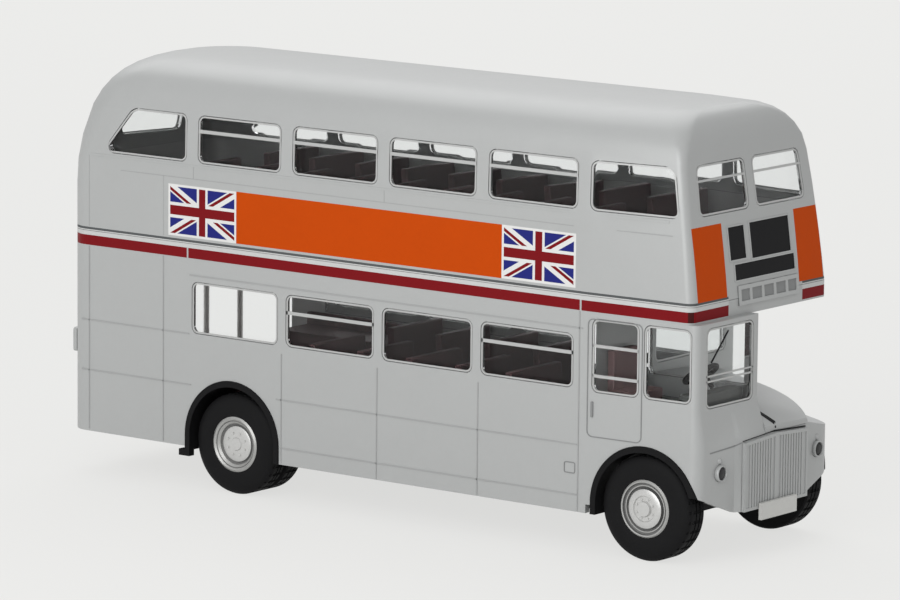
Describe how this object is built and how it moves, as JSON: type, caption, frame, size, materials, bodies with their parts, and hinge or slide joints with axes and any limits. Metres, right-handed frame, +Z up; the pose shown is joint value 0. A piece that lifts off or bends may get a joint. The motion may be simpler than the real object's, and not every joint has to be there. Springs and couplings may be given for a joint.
{
  "type": "toy half-cab double decker bus",
  "caption": "Scale model of a half-cab double deck bus with an open rear platform, clear glazing, moulded seats and free rolling wheels.",
  "frame": {"origin": "on the ground under the middle of the model's box", "axes": "+X towards the front of the bus, +Y towards its nearside with the platform, +Z up"},
  "size_m": [0.094, 0.0284, 0.05],
  "materials": {
    "silver_body": "silver paint, satin",
    "blank_plate": "blank white",
    "lamp_lens": "bright bezel and lens",
    "clear_glazing": "clear moulded plastic",
    "maroon_seats": "moulded dark maroon",
    "pale_pole": "off white",
    "dark_cab": "moulded dark grey",
    "black_chassis": "moulded black",
    "steel_axle": "drawn steel",
    "silver_hub": "silver paint",
    "black_tyre": "matt black"
  },
  "bodies": {
    "bus": {"upper_shell": "silver_body", "lower_shell": "silver_body", "bonnet": "silver_body", "radiator_grille": "silver_body", "tail_box": "silver_body", "front_plate": "blank_plate", "headlamps": "lamp_lens", "upper_glazing": "clear_glazing", "lower_glazing": "clear_glazing", "cab_glazing": "clear_glazing", "upper_saloon": "maroon_seats", "lower_saloon": "maroon_seats", "staircase": "maroon_seats", "platform_poles": "pale_pole", "cab_interior": "dark_cab", "steering_wheel": "black_chassis", "chassis": "black_chassis", "front_mudguards": "black_chassis", "rear_mudguards": "black_chassis"},
    "front_wheelset": {"front_axle": "steel_axle", "front_hubs": "silver_hub", "front_tyres": "black_tyre"},
    "rear_wheelset": {"rear_axle": "steel_axle", "rear_hubs": "silver_hub", "rear_tyres": "black_tyre"}
  },
  "joints": [
    {"name": "front_wheels_roll", "type": "hinge", "parent": "bus", "child": "front_wheelset", "pos_m": [0.03805, 0, 0.006], "axis": [0, 1, 0], "continuous": true},
    {"name": "rear_wheels_roll", "type": "hinge", "parent": "bus", "child": "rear_wheelset", "pos_m": [-0.0209, 0, 0.006], "axis": [0, 1, 0], "continuous": true}
  ]
}
